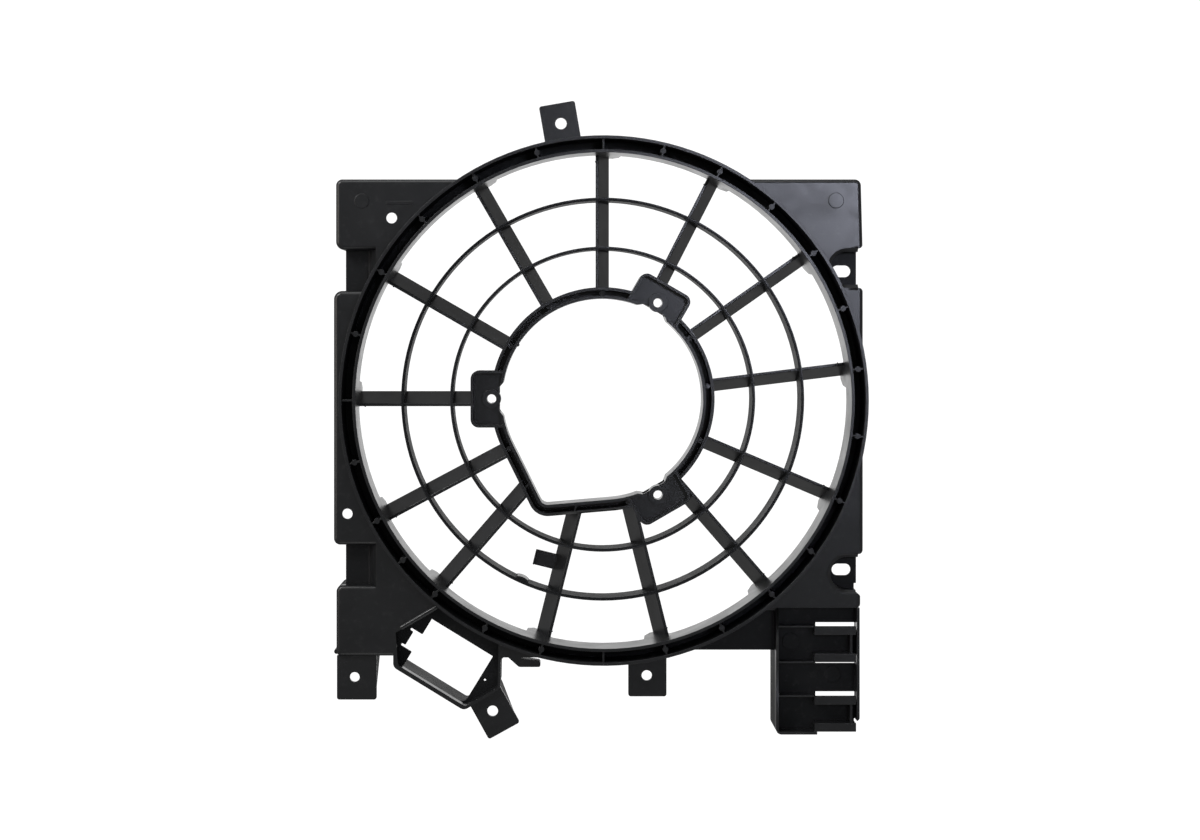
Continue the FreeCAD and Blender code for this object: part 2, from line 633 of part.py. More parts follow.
def make_grille():
    """Vanes, two guard rings, the motor ring, its ribs and its three lugs."""
    def band(name, inset, front, rear):
        return prism(name, lambda sketch: belt(sketch, motorRadius - inset,
                                               cornerRadius - inset), front, rear)

    front = grilleFront - past
    rear = grilleRear + past
    motorSpace = band("MotorSpace", as_size(0), front, rear)
    motorOpening = band("MotorOpening", motorBand, front, rear)

    def lug_blank(name, inset, first, last):
        reach = lugReach - inset
        half = lugHalfWidth - inset
        blank = prism(name, lambda sketch: polygon(sketch, rectangle(
            (hub, reach), (-half, half))), first, last)
        return round_corners(blank, lugRound - inset,
                             upright_at((reach, -half), (reach, half)))

    # The ring's floor runs through behind the lugs, so that the ring is one piece
    floorFront = grilleRear - motorFloor
    floorSpace = band("MotorFloorSpace", as_size(0), floorFront, rear)
    lugSpaces = []
    for number, angle in enumerate(lugAngles):
        space = lug_blank("LugSpace%d" % number, as_size(0), front, rear)
        lugSpaces.append(cut("LugReach%d" % number, turn(space, angle), floorSpace))

    # At a lug the ring's inner wall stops, and the bolt goes through the ring's floor
    mouths = []
    holes = []
    for number, angle in enumerate(lugAngles):
        mouth = prism("LugMouth%d" % number, lambda sketch: polygon(sketch, [
            (hub, -lugMouth), (motorRadius - lugMouthNear, -lugMouth),
            (motorRadius - lugMouthFar, -lugMouthFoot), (motorRadius - lugMouthFar, lugMouthFoot),
            (motorRadius - lugMouthNear, lugMouth), (hub, lugMouth),
        ]), front, rear)
        mouths.append(turn(mouth, angle))
        holes.append(disc("LugHole%d" % number, motorHole, front, rear,
                          boltRadius * cosine(angle), boltRadius * sine(angle)))

    # Motor ring: a channel that opens forwards
    channelTop = band("MotorChannelOutside", ringWall, front, floorFront)
    channelCore = band("MotorChannelInside", motorBand - ringWall, front - past, rear)
    channel = cut("MotorChannel", channelTop, channelCore)
    blank = band("MotorRingBlank", as_size(0), grilleFront, grilleRear)
    node("motor_ring", cut("MotorRing", blank, motorOpening, channel,
                           *lugSpaces, *mouths, *holes))

    ribs = []
    ribFront = grilleFront + motorRibSetback
    for number, angle in enumerate(vaneAngles):
        rib = box("MotorRib%d" % number, (hub, lugReach + past), (ribFront, floorFront),
                  (-ringRibThickness / 2, ringRibThickness / 2))
        post = disc("MotorPost%d" % number, motorPostRadius, ribFront, floorFront,
                    motorRadius - motorBand / 2)
        ribs.append(swing(fuse("MotorPosted%d" % number, rib, post), angle))
    ribSet = common("MotorRibSet", group("MotorRibBlanks", ribs), channel)
    node("motor_ring_ribs", cut("MotorRingRibs", ribSet, *lugSpaces))

    for angle, place, mouth, hole in zip(lugAngles, ("upper", "left", "lower"), mouths, holes):
        key = "Lug" + place.capitalize()
        body = turn(lug_blank(key + "Blank", as_size(0), grilleFront, grilleRear), angle)
        core = band(key + "Core", motorBand - rimWall, front - past, rear + past)
        frontSpace = cut(key + "Front", turn(
            lug_blank(key + "FrontBlank", rimWall, front, lugFloorFront), angle), core)
        rearSpace = cut(key + "Rear", turn(
            lug_blank(key + "RearBlank", rimWall, lugFloorRear, rear), angle), core)
        shell = cut(key + "Shell", body, frontSpace, rearSpace, mouth)
        boss = disc(key + "Boss", bossRadius, 0, bossRear,
                    boltRadius * cosine(angle), boltRadius * sine(angle))
        whole = fuse(key + "Whole", shell, boss)
        node("motor_lug_" + place, cut(key, whole, motorOpening, floorSpace, hole))

    # Guard rings keep their front where a vane crosses, the vane keeps the rear
    guards = []
    for label, radius in (("outer", outerGuardRadius), ("inner", innerGuardRadius)):
        key = "Guard" + label.capitalize()
        crossing = tube(key + "Crossing", radius, radius - guardWall, grilleFront,
                        grilleFront + lapDepth)
        guards.append(crossing)
        hoop = tube(key + "Hoop", radius, radius - guardWall, grilleFront, grilleRear)
        passing = group(key + "Vanes", [
            vane_blank("%sVane%d" % (key, number), angle)
            for number, angle in enumerate(vaneAngles)
        ])
        behindLap = box(key + "Behind", (-ringRadius, ringRadius),
                        (grilleFront + lapDepth, rear), (-ringRadius, ringRadius))
        notches = common(key + "Notches", passing, behindLap)
        node("guard_ring_" + label, cut(key, hoop, notches))

    bore = disc("FanBore", boreRadius, front, rear)
    for number, angle in enumerate(vaneAngles):
        blade = common("VaneTrimmed%d" % number,
                       vane_blank("VaneBlank%d" % number, angle), bore)
        node("vane_%02d" % (number + 1),
             cut("Vane%d" % number, blade, motorSpace, *lugSpaces, *guards))


def tray(name, points, rounded, edge, hollows, cutters):
    """A panel with rim walls behind it, rounded along its outer side.

    Each of rounded is a corner and its radius, edge is the sign and place of the outer
    side, and a hollow is its X, its Z and the Y that it starts from.
    """
    blank = prism(name + "Blank", lambda sketch: polygon(sketch, points), panelFront, rimRear)
    for corner, radius in rounded:
        round_corners(blank, radius, upright_at(corner))
    side, outer = edge

    def outside(line):
        ends = [vertex.Point for vertex in line.Vertexes]
        return all(abs(end.y - panelFront.value) < 0.01
                   and side * (end.x - outer.value) > -0.01 for end in ends)

    round_corners(blank, cornerRound, outside)
    spaces = [
        box("%sHollow%d" % (name, number), x, (start, behind), z)
        for number, (x, z, start) in enumerate(hollows)
    ]
    return cut(name, blank, ringSpace, *spaces, *cutters)


def corner_cutter(name, x, z, radius, side, up):
    """What rounds a corner at x, z takes away; side and up point out of the corner."""
    inner_x = x - side * radius
    inner_z = z - up * radius
    spans = [(inner, inner + sign * (radius + past)) if sign > 0
             else (inner + sign * (radius + past), inner)
             for inner, sign in ((inner_x, side), (inner_z, up))]
    block = box(name + "Block", spans[0], (panelFront - past, behind), spans[1])
    return cut(name, block, disc(name + "Round", radius, panelFront - 2 * past, behind + past,
                                 inner_x, inner_z))


def make_left_side():
    """Three panels with two recesses between them; the middle one's rim is its own node."""
    inside = recessLeft + rimWall
    holeX = leftTop + topLeftHoleIn
    hole = disc("TopLeftHole", topLeftHoleRadius, panelFront - past, behind,
                holeX, topEdge - topLeftHoleDrop)
    node("panel_top_left", tray(
        "PanelTopLeft",
        [(leftTop, topEdge), (leftTop, upperRecessTop), (recessHead, upperRecessTop),
         (recessHead, upperRecessBottom), (0, upperRecessBottom), (0, topEdge)],
        [((leftTop, topEdge), panelCorner), ((leftTop, upperRecessTop), recessCorner)],
        (-1, leftTop),
        [((leftTop + rimWall, past), (upperRecessTop + rimWall, topEdge - rimWall), panelRear),
         ((inside, past), (upperRecessBottom - past, upperRecessTop + rimWall), recessRear),
         ((recessHead, past), (upperRecessBottom - past, upperRecessTop), panelRear)],
        [hole]))

    hole = disc("LeftHole", leftHoleRadius, panelFront - past, behind,
                leftMiddle + leftHoleIn, lowerRecessTop + leftHoleRise)
    whole = tray(
        "PanelLeft",
        [(leftMiddle, upperRecessBottom), (leftMiddle, lowerRecessTop),
         (recessHead, lowerRecessTop), (recessHead, jointTop), (-inland, jointTop),
         (-inland, upperRecessBottom)],
        [((leftMiddle, upperRecessBottom), recessCorner),
         ((leftMiddle, lowerRecessTop), panelCorner)],
        (-1, leftMiddle),
        [((leftMiddle + rimWall, past), (lowerRecessTop + rimWall, upperRecessBottom - rimWall),
          panelRear),
         ((inside, past), (lowerRecessTop - past, upperRecessBottom + past), recessRear)],
        [hole])
    back = box("PanelLeftBack", (-2 * ringRadius, 0), (panelRear, behind),
               (-ringRadius, ringRadius))
    node("panel_left", cut("PanelLeftPlate", whole, back))
    node("rim_wall_left", common("RimWallLeft", whole, back))

    node("panel_bottom_left", tray(
        "PanelBottomLeft",
        [(leftBottom, lowerRecessBottom), (leftBottom, leftBottomEdge),
         (-inland, leftBottomEdge), (-inland, jointTop), (recessHead, jointTop),
         (recessHead, lowerRecessBottom)],
        [((leftBottom, lowerRecessBottom), panelCorner),
         ((leftBottom, leftBottomEdge), stubCorner)],
        (-1, leftBottom),
        [((leftBottom + rimWall, past), (leftBottomEdge + rimWall, lowerRecessBottom - rimWall),
          panelRear),
         ((inside, past), (lowerRecessBottom - rimWall, jointTop + past), recessRear),
         ((recessHead, past), (lowerRecessBottom, jointTop + past), panelRear)],
        [frame_blank("LeftFrameSpace", panelFront - past, behind)]))

    recess("RecessUpper", "recess_upper_left", (upperRecessBottom, upperRecessTop))
    recess("RecessLower", "recess_lower_left", (lowerRecessBottom, lowerRecessTop))


def recess(name, label, z):
    """A floor set back from the panels, with a slope up to them beside the ring."""
    body = doc.addObject("PartDesign::Body", name + "Profile")
    sketch = body.newObject("Sketcher::SketchObject", name + "Section")
    sketch.AttachmentSupport = [(plane_of(body, "XY_Plane"), "")]
    sketch.MapMode = "FlatFace"
    polygon(sketch, [
        (recessLeft, recessFront), (recessFoot, recessFront), (recessHead, panelFront),
        (recessHead, panelRear), (recessFoot + rimWall, recessRear),
        (recessLeft + rimWall, recessRear), (recessLeft + rimWall, rimRear),
        (recessLeft, rimRear),
    ])
    bind(sketch, AttachmentOffset__Base__z=z[0])
    pad = body.newObject("PartDesign::Pad", name + "Pad")
    pad.Profile = sketch
    bind(pad, Length=z[1] - z[0])
    node(label, cut(name, body, ringSpace))


def ear_space(name, radius, x, front, rear, z):
    """The space of a slotted ear: a round end and a straight part up to the edge at x."""
    middle = disc(name + "Round", radius, front, rear, earX, z)
    left = box(name + "Left", (earX - radius - past, earX), (front - past, rear + past),
               (z - radius - past, z + radius + past))
    block = box(name + "Straight", (earX, x), (front, rear), (z - radius, z + radius))
    return fuse(name, common(name + "End", middle, left), block)


def ear(name, label, z, slotZ, *cutters):
    """An ear is a pocket that opens to the side, with a slot through its floor."""
    outside = ear_space(name + "Outside", earOuter, earEdge, panelFront, rimRear, z)
    pocket = ear_space(name + "Pocket", earRadius - earSlope, earEdge + past,
                       panelFront - past, recessFront, z)
    cone = doc.addObject("Part::Cone", name + "SlopeRound")
    cone.Placement = Placement(Vector(), Rotation(Vector(1, 0, 0), -90))
    bind(cone, Radius1=earRadius, Radius2=earRadius - earSlope, Height=earSlope)
    bind(cone, Placement__Base__x=earX, Placement__Base__y=panelFront, Placement__Base__z=z)
    wedge = doc.addObject("Part::Wedge", name + "SlopeStraight")
    bind(wedge, Xmin=earX, Xmax=earEdge + past, X2min=earX, X2max=earEdge + past,
         Ymin=panelFront, Ymax=panelFront + earSlope, Zmin=z - earRadius, Zmax=z + earRadius,
         Z2min=z - earRadius + earSlope, Z2max=z + earRadius - earSlope)
    back = box(name + "Back", (0, earEdge + past), (recessRear, behind),
               (z - 2 * earRadius, z + 2 * earRadius))
    half = slotLength / 2 - slotRadius
    slot = fuse(
        name + "Slot",
        disc(name + "SlotLeft", slotRadius, recessFront - past, behind, earSlotX - half, slotZ),
        disc(name + "SlotRight", slotRadius, recessFront - past, behind, earSlotX + half, slotZ),
        box(name + "SlotMiddle", (earSlotX - half, earSlotX + half),
            (recessFront - past, behind), (slotZ - slotRadius, slotZ + slotRadius)))
    node(label, cut(name, outside, pocket, cone, wedge, back, slot, ringSpace, *cutters))


def make_right_side():
    """Upper and lower panels, two slotted ears and two slivers beside the ring."""
    inside = earEdge - rimWall

    def ear_cutters(name, z):
        front = panelFront - past
        return [ear_space(name + "Body", earOuter, earEdge, front, behind, z),
                ear_space(name + "Way", earRadius, rightMiddle + past, front, behind, z)]

    def lobe_cutter(name):
        return corner_cutter(name, rightBottom, lowerEarZ - earRadius, stubCorner, 1, 1)

    ear("EarUpper", "slotted_ear_upper", upperEarZ, upperSlotZ)
    ear("EarLower", "slotted_ear_lower", lowerEarZ, lowerSlotZ, lobe_cutter("EarLobe"))

    low = upperEarZ + earRadius
    wall = upperEarZ + earOuter
    leaning = rightTop + rightTopLean
    node("panel_top_right", tray(
        "PanelTopRight",
        [(rightTop, topEdge), (0, topEdge), (0, upperEarZ), (earX, upperEarZ), (earX, low),
         (leaning, low)],
        [((rightTop, topEdge), panelCorner)], (1, rightTop),
        [((-past, rightTop - rimWall), (wall + rimWall, topEdge - rimWall), panelRear),
         ((-past, inside), (upperEarZ - past, wall + rimWall), panelRear)],
        [*ear_cutters("TopRightEar", upperEarZ),
         corner_cutter("TopRightStub", leaning, low, stubCorner, 1, -1)]))

    high = upperEarZ - earRadius
    wall = upperEarZ - earOuter
    node("panel_right_upper", tray(
        "PanelRightUpper", rectangle((inland, rightMiddle), (0, high)), [], (1, rightMiddle),
        [((0, rightMiddle - rimWall), (-past, wall - rimWall), panelRear),
         ((0, inside), (0, high + past), panelRear)],
        [*ear_cutters("RightUpperEar", upperEarZ),
         corner_cutter("RightUpperStub", rightMiddle, high, stubCorner, 1, 1)]))

    low = lowerEarZ + earRadius
    wall = lowerEarZ + earOuter
    node("panel_right_lower", tray(
        "PanelRightLower", rectangle((inland, rightMiddle), (low, 0)), [], (1, rightMiddle),
        [((0, rightMiddle - rimWall), (wall + rimWall, past), panelRear),
         ((0, inside), (low - past, 0), panelRear)],
        [*ear_cutters("RightLowerEar", lowerEarZ),
         corner_cutter("RightLowerStub", rightMiddle, low, stubCorner, 1, -1)]))

    wall = lowerEarZ - earOuter
    node("panel_bottom_right", tray(
        "PanelBottomRight", rectangle((inland / 2, rightBottom), (ledgeEdge, low)), [],
        (1, rightBottom),
        [((0, rightBottom - rimWall), (ledgeEdge + rimWall, wall - rimWall), panelRear),
         ((0, inside), (wall - rimWall, low + past), panelRear),
         ((0, rightBottom - rimWall), (ledgeEdge - past, ledgeEdge + rimWall + past), panelRear)],
        [*ear_cutters("BottomRightEar", lowerEarZ), lobe_cutter("BottomRightLobe"),
         corner_cutter("BottomRightFoot", rightBottom, ledgeEdge, stubCorner, 1, -1)]))


def make_relay_bracket():
    """A deep plate beside the ring, and an open box with two pairs of relay rails."""
    plate = box("DeepPlateFloor", (0, bracketLeft), (recessFront, recessRear),
                (deepBottom, ledgeEdge))
    lip = box("DeepPlateRim", (0, bracketLeft), (recessFront, rimRear),
              (deepBottom, deepBottom + rimWall))
    step = box("DeepPlateStep", (0, bracketLeft), (panelRear, recessRear),
               (ledgeEdge - rimWall, ledgeEdge))
    node("deep_plate", cut("DeepPlate", fuse("DeepPlateWhole", plate, lip, step), ringSpace))

    depth = (panelFront, rimRear)
    wallEnd = bracketBottom + bracketWallRise
    floor = box("BracketFloor", (bracketLeft, bracketRight), (recessFront, recessRear),
                (bracketBottom, ledgeEdge))
    walls = [
        box("BracketLeftWall", (bracketLeft, bracketLeft + rimWall), depth,
            (bracketBottom, ledgeEdge)),
        box("BracketRightWall", (bracketRight - rimWall, bracketRight),
            (panelFront, recessRear), (wallEnd, ledgeEdge)),
        box("BracketBottomWall", (bracketLeft, railStart + rimWall), depth,
            (bracketBottom, bracketBottom + rimWall)),
    ]
    lowest = railTop - railPitch - railSpan
    corner = box("BracketCorner", (railStart + rimWall, bracketRight + past),
                 (recessFront - past, behind), (bracketBottom - past, lowest))
    notch = box("BracketNotch", (railEnd, bracketRight + past), (recessFront - past, behind),
                (bracketBottom - past, wallEnd))
    rounds = [
        corner_cutter("BracketFoot", bracketLeft, bracketBottom, bracketCorner, -1, -1),
        corner_cutter("BracketHeel", bracketRight, wallEnd, railInset, 1, -1),
    ]
    slots = []
    rails = []
    for pair in range(2):
        top = railTop - pair * railPitch
        bottom = top - railSpan
        for place, edge, sign, gap in (("Upper", top, 1, railGapAbove),
                                       ("Lower", bottom, -1, railGapBelow)):
            key = "%s%d" % (place, pair)
            stem = edge - sign * railLip
            x = (railStart, railEnd)
            rails.append(fuse(
                "Rail" + key,
                span_box("RailLip" + key, x, (panelFront, panelFront + railLipThickness),
                         edge, stem, sign),
                span_box("RailStem" + key, x, (panelFront, recessFront),
                         stem + sign * railStem, stem, sign)))
            if (place, pair) != ("Lower", 1):
                slots.append(span_box(
                    "RailSlot" + key, (railStart + rimWall, bracketRight - rimWall),
                    (recessFront - past, behind), edge + sign * gap,
                    stem + sign * railStem, sign))
    node("relay_bracket", cut("RelayBracket", fuse("BracketWhole", floor, *walls),
                              corner, notch, *rounds, *slots))
    node("relay_rails", group("RelayRails", rails))

    front = recessFront - bracketRibRise
    ribs = []
    for number, z in enumerate((railTop, railTop - railSpan, railTop - railPitch)):
        ribs.append(box("BracketRib%d" % number, (bracketLeft + rimWall, railStart),
                        (front, recessFront), (z - bracketRib, z)))
    for pair in range(2):
        top = railTop - pair * railPitch - railLip
        ribs.append(box("BracketStop%d" % pair, (railEnd - 2 * rimWall, railEnd - rimWall),
                        (front, recessFront), (top + 2 * railLip - railSpan, top)))
    node("relay_ribs", group("RelayRibs", ribs))


def span_box(name, x, y, edge, inner, sign):
    """A block between two heights; sign says whether edge is the higher one."""
    z = (inner, edge) if sign > 0 else (edge, inner)
    return box(name, x, y, z)


def frame_blank(name, front, rear, inset=0):
    """The outline of the resistor frame, in the axes of its tilted opening.

    The spaces inside it are inset by a wall, but the lower wall reaches to the opening.
    The lower right corner is blunt, so the inset moves it half as far.
    """
    lower = -openingHeight if inset else -(openingHeight + frameWall)
    inset = as_size(inset)
    body = prism(name, lambda sketch: polygon(sketch, [
        (-frameLeftLong + inset, -frameLeftDrop),
        (-frameLeftShort + inset, lower),
        (openingLength + frameRightShort - inset / 2, lower),
        (openingLength + frameRightLong - inset, -frameRightDrop),
        (openingLength - frameTopShort - inset, frameTopRise),
        (frameRightShort + inset, frameShoulder - inset),
    ]), front, rear)
    round_corners(body, frameRound - inset, upright_at(
        (-frameLeftShort + inset, lower),
        (openingLength + frameRightShort - inset / 2, lower),
        (openingLength + frameRightLong - inset, -frameRightDrop)))
    return turn(body, -frameTilt, 0, frameX, frameZ)


def make_resistor_frame():
    """A deep frame round a tilted opening, with a latch notch on its left."""
    blank = frame_blank("FrameBlank", panelFront, rimRear)
    frontSpace = frame_blank("FrameFront", panelFront - past, recessFront, rimWall)
    rearSpace = frame_blank("FrameRear", recessRear, behind, rimWall)

    front = panelFront - past
    notch = [
        (0, -latchTop), (-latchSlitReach, -latchTop),
        (-latchSlitReach, -latchTop - latchSlit), (-latchReach, -latchTop - latchSlit),
        (-latchReach, latchSlit - latchTop - latchHeight),
        (-latchSlitReach, latchSlit - latchTop - latchHeight),
        (-latchSlitReach, -latchTop - latchHeight), (0, -latchTop - latchHeight),
    ]
    corner = (openingLength, -openingHeight)
    opening = prism("FrameOpening", lambda sketch: polygon(sketch, [
        (0, 0), *notch, (0, -openingHeight), corner, (openingLength, 0),
    ]), front, behind)
    round_corners(opening, latchRound, upright_at(*notch))
    round_corners(opening, openingCorner, upright_at(corner))
    turn(opening, -frameTilt, 0, frameX, frameZ)
    pin = disc("FramePin", framePinRadius, front, behind,
               frameX + framePinX * cosine(frameTilt) - framePinDrop * sine(frameTilt),
               frameZ - framePinX * sine(frameTilt) - framePinDrop * cosine(frameTilt))
    node("resistor_frame", cut("ResistorFrame", blank, frontSpace, rearSpace, opening,
                               pin, ringSpace))


def tab(name, label, at, x, z, side, cutter):
    """A fixing tab about its hole at x, z, with a gusset behind one side."""
    rear = tabFront + tabPlate
    plate = prism(name + "Plate", lambda sketch: polygon(sketch, rectangle(
        (-at["Left"], at["Right"]), (-at["Reach"], at["Root"]))), tabFront, rear)
    round_corners(plate, tabRound, upright_at((-at["Left"], -at["Reach"]),
                                              (at["Right"], -at["Reach"])))
    gusset = doc.addObject("Part::Wedge", name + "Gusset")
    low = at["Right"] - gussetWall if side > 0 else -at["Left"]
    bind(gusset, Xmin=low, Xmax=low + gussetWall, X2min=low, X2max=low + gussetWall,
         Ymin=rear, Ymax=gussetRear, Zmin=gussetShort - at["Reach"], Zmax=at["Root"],
         Z2min=at["Root"] - gussetWall, Z2max=at["Root"])
    hole = disc(name + "Hole", at["Radius"], tabFront - past, behind)
    whole = cut(name + "Whole", fuse(name + "Shape", plate, gusset), hole)
    turn(whole, -at["Turn"], 0, x, z)
    node(label, cut(name, whole, cutter))


def make_tabs():
    """Four tabs carry the bolts that hold the shroud to the radiator."""
    def beside_ring(name, label, at, side):
        away = ringRadius + at["Out"]
        tab(name, label, at, away * cosine(at["Bearing"]), away * sine(at["Bearing"]), side,
            ringSpace)

    beside_ring("TabBottom", "tab_bottom", bottomTab, 1)
    beside_ring("TabTop", "tab_top", topTab, -1)
    tab("TabBottomLeft", "tab_bottom_left", bottomLeftTab, leftBottom + bottomLeftTab["In"],
        leftBottomEdge - bottomLeftTab["Root"], 1, ringSpace)
    along = openingLength + resistorTab["Past"]
    down = openingHeight - resistorTab["Short"]
    tab("TabResistor", "tab_resistor", resistorTab,
        frameX + along * cosine(frameTilt) - down * sine(frameTilt),
        frameZ - along * sine(frameTilt) - down * cosine(frameTilt), 1,
        frame_blank("TabFrameSpace", panelFront - past, behind))


def make_cable_fixings():
    """A small plate on one vane, and a hook under the ring."""
    angle = vaneAngles[9]
    clipMiddle = (innerGuardRadius + outerGuardRadius - guardWall) / 2 - clipShift
    clipInner = clipMiddle - clipLength / 2
    plate = box("ClipPlate", (clipInner, clipInner + clipLength),
                (grilleRear - clipThickness, grilleRear), (-clipReach, 0))
    vane = vane_blank("ClipVane", angle)
    beyond = box("ClipBeyond", (clipInner - past, clipInner + clipLength + past),
                 (grilleFront, behind), (-vaneLean / 2, past))
    node("vane_cable_clip", cut("VaneCableClip", swing(plate, angle), vane,
                                swing(beyond, angle)))

    root = hookRise - ringRadius
    bottom = -(ringRadius + hookDrop)
    tip = bottom + hookFinger
    slope = hookLeft + hookNeck
    finger = slope + hookSlope
    hook = prism("HookBlank", lambda sketch: polygon(sketch, [
        (hookLeft, -boreRadius), (hookLeft, root - hookFoot), (hookLeft + hookFoot, root),
        (slope, root), (finger, bottom),
        (hookRight, bottom), (hookRight, tip), (finger + hookWall, bottom + hookFingerRoot),
        (finger + hookWall, root), (hookRight, root), (hookRight, -boreRadius),
    ]), panelFront, panelFront + hookDepth)
    round_corners(hook, hookRound, upright_at((hookRight, bottom), (hookRight, tip)))
    round_corners(hook, hookBend, upright_at((finger, bottom)))
    space = frame_blank("HookFrameSpace", panelFront - past, behind)
    node("cable_hook", cut("CableHook", hook, ringSpace, space))


def check_and_write():
    """Refuse a failed feature or a broken shape, then write one file per node."""
    doc.recompute()
    failed = [item.Name for item in doc.Objects
              if "Invalid" in item.State or "Error" in item.State]
    if failed:
        raise SystemExit("failed features: " + ", ".join(failed))
    os.makedirs("parts", exist_ok=True)
    for name, thing in nodes.items():
        shape = thing.Shape
        if shape.isNull() or not shape.isValid() or not shape.Solids:
            raise SystemExit("broken shape: " + name)
    for name, thing in nodes.items():
        thing.Shape.exportStep("parts/%s.step" % name)
        print("%-22s %2d solids %9.0f mm3" % (name, len(thing.Shape.Solids), thing.Shape.Volume))


make_fan_ring()
make_skirts()
make_grille()
make_left_side()
make_right_side()
make_relay_bracket()
make_resistor_frame()
make_tabs()
make_cable_fixings()
check_and_write()
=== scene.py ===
import math

import bmesh
import bpy
from mathutils import Matrix, Vector
from mathutils.bvhtree import BVHTree


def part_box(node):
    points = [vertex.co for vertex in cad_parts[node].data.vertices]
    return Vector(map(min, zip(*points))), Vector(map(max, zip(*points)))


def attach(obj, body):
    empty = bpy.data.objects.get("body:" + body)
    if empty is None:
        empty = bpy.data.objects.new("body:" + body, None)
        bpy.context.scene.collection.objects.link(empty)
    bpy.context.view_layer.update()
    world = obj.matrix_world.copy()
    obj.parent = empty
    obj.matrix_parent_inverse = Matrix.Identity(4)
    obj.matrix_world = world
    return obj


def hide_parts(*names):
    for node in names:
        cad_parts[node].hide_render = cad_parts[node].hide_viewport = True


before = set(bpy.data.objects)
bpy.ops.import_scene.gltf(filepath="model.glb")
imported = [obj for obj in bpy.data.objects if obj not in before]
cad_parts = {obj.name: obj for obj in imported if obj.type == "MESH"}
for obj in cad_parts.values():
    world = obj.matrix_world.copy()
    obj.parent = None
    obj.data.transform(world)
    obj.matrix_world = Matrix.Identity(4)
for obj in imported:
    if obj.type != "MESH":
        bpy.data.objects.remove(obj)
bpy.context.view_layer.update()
mm = 0.001  # everything below is measured in millimetres and made in metres
print("frame loaded,", len(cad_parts), "nodes")


# the photograph was taken square on, from a little above and to the left of the hub
camera = {
    "place": (-31.8, -1330.0, 50.3),
    "frameWidth": 845.5,      # what the picture's width covers at the ring's front edge
    "distance": 1300.0,       # from the lens to that edge
    "centre": (-2.5, -13.7),  # X and Z in the middle of the picture
    "sensor": 36.0,
    "nearest": 50.0,          # how near and how far it sees
    "furthest": 40000.0,
}


def makeCamera():
    data = bpy.data.cameras.new("camera")
    data.sensor_width = camera["sensor"]
    data.lens = data.sensor_width * camera["distance"] / camera["frameWidth"]
    data.shift_x = (camera["centre"][0] - camera["place"][0]) / camera["frameWidth"]
    data.shift_y = (camera["centre"][1] - camera["place"][2]) / camera["frameWidth"]
    data.clip_start = camera["nearest"] * mm
    data.clip_end = camera["furthest"] * mm
    made = bpy.data.objects.new("camera", data)
    made.location = Vector(camera["place"]) * mm
    made.rotation_euler = (math.pi / 2, 0.0, 0.0)
    bpy.context.scene.collection.objects.link(made)
    bpy.context.scene.camera = made


makeCamera()
print("camera placed")


def linear(hexColour):
    # sRGB hex to linear red, green, blue and alpha
    parts = [int(hexColour[i:i + 2], 16) / 255 for i in (1, 3, 5)]
    return [p / 12.92 if p <= 0.04045 else ((p + 0.055) / 1.055) ** 2.4 for p in parts] + [1.0]


def addNode(tree, kind, settings=None, **links):
    # one node with its settings; links names an input, or its number after an underscore,
    # and gives a socket or a value for it
    made = tree.nodes.new(kind)
    for name, value in (settings or {}).items():
        setattr(made, name, value)
    for name, value in links.items():
        socket = made.inputs[int(name[1:])] if name[0] == "_" else made.inputs[name]
        if isinstance(value, bpy.types.NodeSocket):
            tree.links.new(value, socket)
        else:
            socket.default_value = value
    return made


def newMaterial(name):
    made = bpy.data.materials.new(name)
    made.use_nodes = True
    made.node_tree.nodes.clear()
    return made, made.node_tree


# black polyamide 6 with 30 % glass fibre, injection moulded in an eroded tool: a half
# gloss black whose sheen breaks up over fine grain, faint flow streaks and light scuffs
polyamide = {
    "black": "#141517",
    "grey": "#1b1c1e",    # where fibre lies near the surface
    "dust": "#3a3a3b",    # scuffs and tool dust, in small patches
    "refraction": 1.53,
    "sheen": 0.5,
    # each pattern's size in mm, detail, roughness and distortion
    "patterns": {
        "grain": (0.9, 3.0, 0.6, 0.0),      # the real one is nearer 0.1 mm, too fine to show
        "streak": (26.0, 4.0, 0.55, 1.2),   # the size is the length of a flow streak
        "scuff": (5.0, 6.0, 0.7, 0.0),
    },
    "grainDepth": 0.008,
    "grainStrength": 0.35,
    "roughness": (0.29, 0.38),
    "streaked": (0.3, 0.7),     # from which to which streak the roughness changes
    "worn": (0.54, 0.76, 0.4),  # from which noise scuffs show, in full, and how strong
}


# in these zones the moulding is rougher with less sheen; in the channel and on the faces deep
# behind the panels the lower sheen is painted shade, where shade falls in these recesses, and
# on the guard rings it only makes them duller; each zone has its limits, out from the axis or
# deep along Y: from where, and how far on it is fully in the zone
coarse = {
    "rougher": 0.25,
    "sheenLeft": 0.4,
    "zones": {
        "channel": (("out", 176.9, 0.4), ("out", 185.1, -0.4), ("deep", -29.0, 0.8)),
        "deepFaces": (("out", 176.9, 0.4), ("deep", -9.5, 0.8)),
        "guardRingInner": (("out", 106.0, 0.4), ("out", 109.0, -0.4)),
        "guardRingOuter": (("out", 141.0, 0.4), ("out", 144.4, -0.4)),
    },
}


